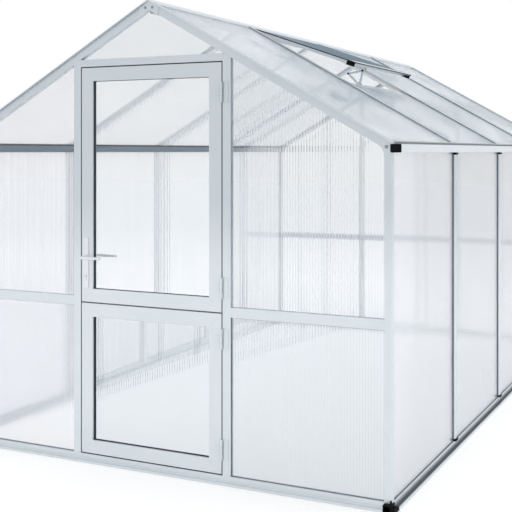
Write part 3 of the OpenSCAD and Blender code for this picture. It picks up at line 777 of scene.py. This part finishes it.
def gableField(skin, ribs, low, high, z0, y0, top=None):
    # one pane between uprights; top is its level head, or the rafter over it
    y1 = y0 + house["pane"]
    head = [(x, top or rafterZ(x)) for x in ((high, 0, low) if low < 0 < high and not top else (high, low))]
    extrude(skin, [(low, z0), (high, z0), *head], "y", y0, y1, 0)
    for x in ribLines(low, high):
        end = top or rafterZ(abs(x) + 0.0005) - 0.0005
        block(ribs, (x - ribHalf, y0 + skinThick, z0 + 0.001), (x + ribHalf, y1 - skinThick, end - 0.001), 0)


transomLow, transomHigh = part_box("front_transoms")
frontPane, backPane = frontY + 0.012, backY - 0.012 - house["pane"]
levels = ((railTop, transomLow.z), (transomHigh.z, None))  # foot and head of the two fields between uprights
overDoor = ((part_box("door_head")[1].z, None),)
clear, ribs = [], bmesh.new()
for name, node, skinLook, y, spans, ends in (
        ("frontSheetsLeft", "front_panels", leftFieldSkin, frontPane, fields[:1], levels),
        ("frontSheetsRight", "front_panels", ribbedSkin, frontPane, fields[2:], levels),
        ("frontGableSheet", "front_gable_panel", gableSkin, frontPane, fields[1:2], overDoor),
        ("backSheets", "back_panels", backSkin, backPane, fields, levels)):
    skin = bmesh.new()
    for span in spans:
        for foot, head in ends:
            gableField(skin, ribs, *span, foot, y, head)
    clear.append(piece(name, skin, "polycarbonate", skinLook, node))
clear.append(piece("gableSheetRibs", ribs, "polycarbonate", gableRibs))

webSide = bars["web"] + 0.0005
bays = list(zip((inside[0], *(y + webSide for y in barYs)), (*(y - webSide for y in barYs), inside[1])))
ribs = bmesh.new()
for name, k, skinLook in (("sideSheetsLeft", -1, leftSkin), ("sideSheetsRight", 1, rightSkin)):
    skin = bmesh.new()
    for low, high in bays:
        block(skin, (k * sheetIn, low, railTop), (k * sheetOut, high, beamZ), 0)
        for y in ribLines(low, high):
            block(ribs, (k * (sheetIn + skinThick), y - ribHalf, railTop + 0.001),
                  (k * (sheetOut - skinThick), y + ribHalf, beamZ - 0.001), 0)
    clear.append(piece(name, skin, "polycarbonate", skinLook, "side_sheets"))
clear.append(piece("sideSheetRibs", ribs, "polycarbonate", sideRibs))

vent = {"trimStart": 0.69, "trimEnd": roofRun["ventEnd"], "sheetTop": 0.0272}
frontSkin, skin, ribs = bmesh.new(), bmesh.new(), bmesh.new()
for k in (-1, 1):
    for i, (low, high) in enumerate(bays):
        top = vent["trimEnd"] if (k, i) == (1, 1) else vent["sheetTop"]
        bm = skin if i else frontSkin
        moved(bm, block(bm, (top, low, -house["sheet"]), (roofRun["end"], high, 0), 0), roofPlane(k))
        for y in ribLines(low, high):
            moved(ribs, block(ribs, (top + 0.001, y - ribHalf, skinThick - house["sheet"]),
                              (roofRun["end"] - 0.001, y + ribHalf, -skinThick), 0), roofPlane(k))
clear.append(piece("frontRoofSheets", frontSkin, "polycarbonate", frontRoofSkin, "roof_sheets"))
clear.append(piece("roofSheets", skin, "polycarbonate", roofSkin, "roof_sheets"))
clear.append(piece("roofSheetRibs", ribs, "polycarbonate", roofRibs))
print("sheets done")

# Gable gaskets
gasket = {"wide": 0.0025, "proud": 0.0012}


def ringAround(bm, low, high, z0, z1, y0, y1, wide):
    for a, b, c, d in ((low, low + wide, z0, z1), (high - wide, high, z0, z1),
                       (low + wide, high - wide, z0, z0 + wide), (low + wide, high - wide, z1 - wide, z1)):
        block(bm, (a, y0, c), (b, y1, d), 0)


bm = bmesh.new()
for face, out in ((frontPane, -gasket["proud"]), (backPane + house["pane"], gasket["proud"])):
    for span in fields[::2]:
        ringAround(bm, *span, railTop, transomLow.z, face, face + out, gasket["wide"])
piece("gableGaskets", bm, "black_plastic", rubber)
print("gaskets done")

# Roof vent
sash = {"open": radians(10), "drop": 0.019, "thick": 0.022, "side": 0.04, "length": 0.686, "gap": 0.024, "foot": 0.032,
        "lip": 0.038, "lipThick": 0.008, "line": 0.0052, "seal": 0.003}
hingeLine = 0.0345 + sash["thick"] * sin(sash["open"])
sashPlane = (roofPlane(1) @ Matrix.Translation((hingeLine, 0, -sash["drop"]))
             @ Matrix.Rotation(-sash["open"], 4, "Y"))
sashY0, sashY1 = barYs[0] + sash["gap"], barYs[1] - sash["gap"]
long, side, top, rim = sash["length"], sash["side"], sash["thick"], sash["seal"]
deepEnd = long - sash["lip"]
paneEnd = deepEnd - sash["foot"]


def sashPiece(name, bm, *rest):  # drawn flat, then laid into the open sash
    moved(bm, bm.verts[:], sashPlane)
    return piece(name, bm, *rest)


trimmer = pairs(0, -36, 49.5, -36, 49.5, -11, 46, -11, 46, -6, 3, -6, 0, -8, 0, -20, 2, -20, 2, -24, 0, -24)
outline = [(vent["trimStart"] + s, t) for s, t in trimmer]
bm = bmesh.new()
made = extrude(bm, outline, "y", barYs[0] + bars["half"], barYs[1] - bars["half"], 0.0006)
moved(bm, made, roofPlane(1))
piece("ventTrimmer", bm, "aluminium", metalY, "vent_trimmer")

low, line = top - sash["lipThick"], top - sash["line"]
shape = [(0, 0), (side, 0), (side, 0.01), (side - 0.003, 0.012)]
sectionSide = [*shape, (side - 0.003, top - 0.001), (side - 0.004, top), (rim, top), (rim, line), (0, line)]
bm = bmesh.new()
for y, sign in ((sashY0, 1), (sashY1, -1)):
    extrude(bm, [(y + sign * a, t) for a, t in sectionSide], "x", 0, deepEnd, 0.0006)
extrude(bm, [*shape, (side - 0.003, top), (0, top)], "y", sashY0 + side, sashY1 - side, 0.0006)
block(bm, (paneEnd, sashY0 + side, 0), (deepEnd, sashY1 - side, top), 0.0006)
block(bm, (deepEnd, sashY0 + rim, low), (long - rim, sashY1 - rim, top), 0.0006)
for y in (sashY0, sashY1 - rim):
    block(bm, (deepEnd, y, low), (long - rim, y + rim, line), 0.0003)
sashPiece("sashFrame", bm, "aluminium", metalSash, "vent_sash")
bm = bmesh.new()
for y in (sashY0, sashY1 - rim):
    block(bm, (0, y, line), (long, y + rim, top), 0.0006)
block(bm, (long - rim, sashY0 + rim, line), (long, sashY1 - rim, top), 0.0006)
sashPiece("sashSeals", bm, "black_plastic", plastic)

bm = bmesh.new()  # grey glazing strips over the two sides of the sash
for y, sign in ((sashY0, 1), (sashY1, -1)):
    inner, outer = y + sign * (side - 0.001), y + sign * (rim + 0.0005)
    block(bm, (0.001, outer, top - 0.0008), (deepEnd, inner, top + 0.0006), 0.0003)
sashPiece("sashGlazingStrips", bm, "black_plastic", blueRubber)

skin, ribs = bmesh.new(), bmesh.new()
paneBase = top - house["sheet"]
block(skin, (side, sashY0 + side, paneBase), (paneEnd, sashY1 - side, top), 0)
for y in ribLines(sashY0 + side, sashY1 - side):
    block(ribs, (side + 0.001, y - ribHalf, paneBase + skinThick), (paneEnd - 0.001, y + ribHalf, top - skinThick), 0)
sashPiece("sashPane", skin, "polycarbonate", sashSkin, "vent_pane")
clear.append(sashPiece("sashPaneRibs", ribs, "polycarbonate", roofRibs))

bm = bmesh.new()  # corner blocks at the low end, the rear one with a lug on the end of the lip
for y0, y1 in ((sashY0 - 0.003, sashY0), (sashY1, sashY1 + 0.003)):
    block(bm, (long - 0.056, y0, -0.006), (long - 0.006, y1, top), 0.0008)
    block(bm, (0.004, y0, 0.002), (0.044, y1, top), 0.0008)
block(bm, (long - 0.05, sashY0 - 0.002, 0.001), (long - 0.01, sashY0 + 0.006, low - 0.0005), 0.0006)
block(bm, (long - 0.008, sashY1 - 0.056, -0.006), (long - 0.001, sashY1 - 0.048, low), 0.0008)
block(bm, (long - 0.006, sashY1 - 0.014, low - 0.002), (long, sashY1 + 0.002, top), 0.0008)
sashPiece("sashCorners", bm, "black_plastic", plastic, "vent_caps")
opener = {"y": barYs[0] + 0.31, "thick": 0.004, "wide": 0.012, "pin": 0.008, "knee": 0.066, "headIn": 0.057,
          "headDrop": 0.022}


def flatArm(bm, start, end, y, thick, wide):  # a flat bar with round ends between two points
    run = Vector((end.x - start.x, 0, end.z - start.z))
    turn = Matrix.Translation((start.x, y, start.z)) @ Matrix.Rotation(atan2(-run.z, run.x), 4, "Y")
    before = set(bm.verts)
    body = block(bm, (-wide / 2, -thick / 2, -wide / 2), (run.length + wide / 2, thick / 2, wide / 2), 0)
    soften(bm, edgesAcross(body, thick), wide * 0.45, 4)
    moved(bm, added(bm, before), turn)


arms, pins, rivets = bmesh.new(), bmesh.new(), bmesh.new()
foot = roofPlane(1) @ Vector((vent["trimStart"] - opener["pin"] - 0.0005, 0, -0.012))
knee = foot + Vector((-opener["knee"], 0, opener["knee"]))
head = sashPlane @ Vector((long - opener["headIn"], 0, -opener["headDrop"]))
hook = sashPlane @ Vector((long - opener["headIn"] + opener["pin"], 0, -opener["pin"] - 0.0003))
for start, end, shift in ((foot, knee, -0.005), (knee, head, 0), (head, foot, 0.005), (head, hook, -0.005)):
    flatArm(arms, start, end, opener["y"] + shift, opener["thick"], opener["wide"])
for m in (-1, 1):  # lugs on the trimmer and under the sash
    flatArm(arms, foot, foot + Vector((0.006, 0, 0.002)), opener["y"] + m * 0.009, 0.003, 0.015)
    flatArm(arms, hook, hook + Vector((0.001, 0, 0.001)), opener["y"] + m * 0.009, 0.003, 0.014)
piece("ventOpener", arms, "aluminium", metalSlope, "vent_openers")
for bm, spot, reach, wide in ((rivets, foot, 0.026, 0.0045), (pins, knee, 0.02, 0.006), (pins, head, 0.02, 0.006),
                              (rivets, hook, 0.026, 0.0045)):
    barrel(bm, (spot.x, opener["y"], spot.z), (0, 1, 0), wide, reach, 0.001, 20)
    for m in (-1, 1):
        barrel(bm, (spot.x, opener["y"] + m * (reach / 2 + 0.001), spot.z), (0, 1, 0), wide * 0.55, 0.003, 0.0006, 6)
piece("openerPins", pins, "black_plastic", plastic, smooth=True)
piece("openerRivets", rivets, "aluminium", metalY, smooth=True)
print("vent done")

# Door leaves: one mitred frame each, gaskets, pane and hinges
leaf = {"wide": 0.068, "thick": 0.036, "paneBack": 0.019, "chamfer": 0.0022, "frontLip": 0.0018, "backLip": 0.001}


def leafFrame(bm, x1, z0, z1):
    # a rectangle inset to a ring, pulled back, with its front edges chamfered
    face = bm.faces.new([bm.verts.new((x, frontY, z)) for x, z in ((-x1, z0), (x1, z0), (x1, z1), (-x1, z1))])
    face.normal_update()
    bmesh.ops.inset_region(bm, faces=[face], thickness=leaf["wide"], use_boundary=True, use_even_offset=True)
    bmesh.ops.delete(bm, geom=[face], context="FACES")
    grown = bmesh.ops.extrude_face_region(bm, geom=bm.faces[:], use_keep_orig=True)["geom"]
    bmesh.ops.translate(bm, verts=vertsIn(grown), vec=(0, leaf["thick"], 0))
    bmesh.ops.recalc_face_normals(bm, faces=bm.faces)
    for y, width, steps in ((frontY, leaf["chamfer"], 2), (frontY + leaf["thick"], 0.001, 1)):
        soften(bm, [e for e in edgesAt(bm.verts, y) if e.calc_face_angle(0) > 1], width, steps)


hingeAt, leverAt = (frame["joints"][i]["pos_m"] for i in (0, 2))
hinge = {"x": hingeAt[0], "y": hingeAt[1], "radius": 0.0075, "bore": 0.0033, "pin": 0.003, "knuckle": 0.032,
         "gap": 0.001, "flap": 0.034, "plate": 0.003, "upper": (0.924, 1.848), "lower": (0.162, 0.684)}


def doorHinge(frameBm, leafBm, frameScrews, leafScrews, z):
    # three knuckles on one pin: outer two on the post, middle one on the leaf
    x, y, radius, knuckle = hinge["x"], hinge["y"], hinge["radius"], hinge["knuckle"]
    tall, step, face = 3 * knuckle + 2 * hinge["gap"], knuckle + hinge["gap"], frontY - hinge["plate"]
    for k in (-1, 1):
        barrel(frameBm, (x, y, z + k * step), (0, 0, 1), radius, knuckle, 0.0012)
        barrel(frameBm, (x, y, z + k * (tall / 2 - 0.0012)), (0, 0, 1), radius * 0.8, 0.0022, 0.0008)
        foot = z + k * step - knuckle / 2
        block(frameBm, (x + 0.001, face, foot), (x + 0.012, frontY, foot + knuckle), 0.0008)
        barrel(frameScrews, (x + 0.023, face - 0.0003, z + k * 0.034), (0, -1, 0), 0.0038, 0.0012, 0.0005, 16)
        barrel(leafScrews, (x - 0.022 + k * 0.007, face - 0.0003, z), (0, -1, 0), 0.0036, 0.0012, 0.0005, 16)
    barrel(frameBm, (x, y, z), (0, 0, 1), hinge["pin"], tall - 0.004, 0)
    block(frameBm, (x + 0.009, face, z - tall / 2), (x + hinge["flap"], frontY, z + tall / 2))
    ring = bmesh.new()
    bmesh.ops.create_cone(ring, cap_ends=False, segments=24, radius1=radius, radius2=radius, depth=knuckle,
                          matrix=Matrix.Translation((x, y, z)))
    bmesh.ops.solidify(ring, geom=ring.faces[:], thickness=radius - hinge["bore"])
    sleeve = bpy.data.meshes.new("sleeve")
    ring.to_mesh(sleeve)
    ring.free()
    leafBm.from_mesh(sleeve)
    bpy.data.meshes.remove(sleeve)
    block(leafBm, (x - hinge["flap"] - 0.002, face, z - knuckle / 2), (x - 0.005, frontY, z + knuckle / 2))


housePart, houseScrews = bmesh.new(), bmesh.new()
for name, paneSkin in (("upper", upperPaneSkin), ("lower", lowerPaneSkin)):
    low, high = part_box(name + "_leaf_stiles")
    body = name + "_door"
    bm = bmesh.new()
    leafFrame(bm, high.x, low.z, high.z)
    metal = mitredMetal("mitredMetal" + name.capitalize(), high.x, low.z, high.z, leaf["wide"])
    piece(name + "LeafFrame", bm, "aluminium", metal, name + "_leaf_stiles " + name + "_leaf_rails", body)
    inX, inLow, inHigh = high.x - leaf["wide"], low.z + leaf["wide"], high.z - leaf["wide"]
    y0 = frontY + leaf["paneBack"]
    y1 = y0 + house["pane"]

    bm = bmesh.new()  # black gaskets that line the opening on both sides of the pane; the deep front lining is partly gasket and partly painted shade in the reveal
    ringAround(bm, -inX, inX, inLow, inHigh, y0 - 0.009, y0, leaf["frontLip"])
    ringAround(bm, -inX, inX, inLow, inHigh, y1, y1 + 0.003, leaf["backLip"])
    piece(name + "LeafGasket", bm, "black_plastic", rubber, body=body)
    bm = bmesh.new()
    block(bm, (-inX, y0, inLow), (inX, y1, inHigh), 0)
    clear.append(piece(name + "LeafPane", bm, "polycarbonate", paneSkin, name + "_leaf_pane", body))

    leafPart, leafScrews = bmesh.new(), bmesh.new()
    for z in hinge[name]:
        doorHinge(housePart, leafPart, houseScrews, leafScrews, z)
    piece(name + "LeafHinges", leafPart, "aluminium", metalZ, name + "_leaf_hinges", body, True)
    piece(name + "HingeScrews", leafScrews, "brushed_steel", metalZ, "", body, True)
piece("frameHinges", housePart, "aluminium", metalZ, "frame_hinges", smooth=True)
piece("frameHingeScrews", houseScrews, "brushed_steel", metalZ, smooth=True)

# Seals in the gaps round the leaves, on the frame side, and one under the upper leaf
seal = {"thick": 0.003, "front": 0.0035, "back": 0.03, "soft": 0.0008}
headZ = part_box("door_head")[0].z
leafLow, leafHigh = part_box("upper_leaf_stiles")
y0, y1, inner = frontY + seal["front"], frontY + seal["back"], doorX - seal["thick"]
bm = bmesh.new()
for k in (-1, 1):
    block(bm, (k * inner, y0, railTop), (k * doorX, y1, headZ), seal["soft"])
for z in (headZ - seal["thick"], railTop):
    block(bm, (-inner, y0, z), (inner, y1, z + seal["thick"]), seal["soft"])
piece("doorSeals", bm, "black_plastic", rubber)
bm = bmesh.new()
edge = leafHigh.x - 0.002
block(bm, (-edge, y0, leafLow.z - seal["thick"] + 0.0004), (edge, y1, leafLow.z), seal["soft"])
piece("leafJointSeal", bm, "black_plastic", rubber, body="upper_door")
for made in clear:  # clear sheets let the light through
    made.visible_shadow = False
print("door leaves done")

# Handle plates, lock and lever, on both faces of the upper leaf
handle = {"x": leverAt[0], "z": leverAt[2], "round": 0.009, "dome": 0.0022}
low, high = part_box("handle_plates")
leafBack = frontY + leaf["thick"]
plateThick = frontY - low.y
bm = bmesh.new()
for face, out in ((frontY, -1), (leafBack, 1)):
    outline = [(low.x, low.z), (high.x, low.z), (high.x, high.z), (low.x, high.z)]
    before = set(bm.verts)
    plate = extrude(bm, outline, "y", face, face + out * plateThick, 0)
    soften(bm, edgesAcross(plate, plateThick), handle["round"], 8)
    soften(bm, edgesAt(added(bm, before), face + out * plateThick), handle["dome"], 3)
    for z in (low.z + 0.014, high.z - 0.014):
        barrel(bm, (handle["x"], face + out * (plateThick - 0.0002), z), (0, out, 0), 0.0034, 0.001, 0.0004, 20)
piece("handlePlates", bm, "brushed_steel", steel, "handle_plates", "upper_door", True)

lockZ = sum(p.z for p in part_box("lock_cylinder")) / 2
lever = {"out": 0.049, "turn": 0.014, "thick": 0.008, "foot": 0.001}


def leverGrip(bm, face, out):
    # a disc pulled out of the plate, spun through a quarter turn and run on along the leaf
    x, z, root = handle["x"], handle["z"], face + out * lever["foot"]
    start = bmesh.ops.create_circle(bm, cap_ends=True, radius=lever["thick"], segments=20,
                                    matrix=Matrix.Translation((x, root, z)) @ Matrix.Rotation(pi / 2, 4, "X"))["verts"]
    neck = bmesh.ops.extrude_face_region(bm, geom=[start[0].link_faces[0]])["geom"]
    straight = out * (lever["out"] - lever["turn"])
    bmesh.ops.translate(bm, verts=vertsIn(neck), vec=(0, straight, 0))
    bend = bmesh.ops.spin(bm, geom=facesIn(neck), cent=(x + lever["turn"], root + straight, z), axis=(0, 0, -out),
                          angle=pi / 2, steps=8)["geom_last"]
    cap = facesIn(bend)
    for step, shrink in ((0.05, 0.97), (0.045, 0.93), (0.0105, 0.9), (0.0035, 0.75), (0.0015, 0.5)):
        grown = bmesh.ops.extrude_face_region(bm, geom=cap)["geom"]
        cap, verts = facesIn(grown), vertsIn(grown)
        bmesh.ops.translate(bm, verts=verts, vec=(step, 0, 0))
        middle = sum((v.co for v in verts), Vector()) / len(verts)
        bmesh.ops.scale(bm, verts=verts, vec=(1, shrink, shrink), space=Matrix.Translation(-middle))
    inner = [f for f in bm.faces if len(f.verts) > 4 and all(len(e.link_faces) > 2 for e in f.edges)]
    bmesh.ops.delete(bm, geom=inner, context="FACES_ONLY")


locks, slots, levers = bmesh.new(), bmesh.new(), bmesh.new()
x = handle["x"]
for face, out in ((frontY - plateThick, -1), (leafBack + plateThick, 1)):
    barrel(locks, (x, face + out * 0.0022, lockZ), (0, out, 0), 0.0083, 0.0044, 0.001, 32)
    block(locks, (x - 0.0045, face, lockZ - 0.0215), (x + 0.0045, face + out * 0.003, lockZ - 0.006), 0.0016)
    slot = Vector((0.0008, out * 0.000875, 0.005))
    middle = Vector((x, face + out * 0.003875, lockZ))
    block(slots, middle - slot, middle + slot, 0.0002)
    leverGrip(levers, face, out)
    barrel(levers, (x, face + out * 0.0035, handle["z"]), (0, out, 0), 0.0115, 0.005, 0.0012, 32)
piece("lockCylinders", locks, "brushed_steel", steel, "lock_cylinder", "upper_door", True)
piece("keySlots", slots, "black_plastic", plastic, body="upper_door")
piece("leverHandle", levers, "brushed_steel", steel, "lever_handle", "lever", True)
print("handle done")

# Floor, light and camera
floorMesh = bpy.data.meshes.new("floor")
bm = bmesh.new()
bmesh.ops.create_grid(bm, x_segments=1, y_segments=1, size=40)
bmesh.ops.translate(bm, verts=bm.verts, vec=(0, 0, -0.0005))
bm.to_mesh(floorMesh)
bm.free()
floor = bpy.data.objects.new("floor", floorMesh)
bpy.context.scene.collection.objects.link(floor)
studio = {"floor": 0.9, "near": 0.34, "far": 0.185, "reach": (4, 14), "sky": 0.94, "slope": 0.12}
finish = Finish("paleFloor")
ground = finish.add("BsdfDiffuse", {}, {"Color": (studio["floor"],) * 3 + (1,)})
away = finish.add("VectorMath", {"operation": "LENGTH"}, {0: finish.place()}, 1)
# the floor glows more near the house than far off: painted light over the house's shadow on the floor
lift = studio["near"] - finish.ramp(away, *studio["reach"]) * (studio["near"] - studio["far"])
glow = finish.add("Emission", {}, {"Color": (0.98, 0.96, 0.94, 1), "Strength": finish.seen() * lift})
finish.add("OutputMaterial", {}, {"Surface": finish.add("AddShader", {}, {0: ground, 1: glow})})
floorMesh.materials.append(finish.material)

sky = Finish("studio", bpy.data.worlds)
bpy.context.scene.world = sky.material
place = sky.add("TexCoord", {}, {}, "Generated")
ahead = Wire(sky, sky.add("SeparateXYZ", {}, {0: place}).socket.node.outputs[1])
light = sky.add("Background", {}, {"Color": (0.96, 0.98, 1.0, 1), "Strength": ahead * studio["slope"] + studio["sky"]})
white = sky.add("Background", {}, {"Color": (1, 1, 1, 1), "Strength": 1.0})
sky.add("OutputWorld", {}, {"Surface": sky.add("MixShader", {}, {0: sky.seen(), 1: light, 2: white})})

cameraData = bpy.data.cameras.new("camera")
cameraData.lens, cameraData.sensor_width, cameraData.shift_y = 70.08, 36, -0.2044
camera = bpy.data.objects.new("camera", cameraData)
camera.location = (2.6232, -6.2436, 1.5681)
camera.rotation_euler = (radians(90), 0, radians(26.21))
bpy.context.scene.collection.objects.link(camera)
bpy.context.scene.camera = camera
bpy.context.scene.view_settings.view_transform = "Standard"
bpy.context.scene.cycles.transparent_max_bounces = 96
print("stage ready")
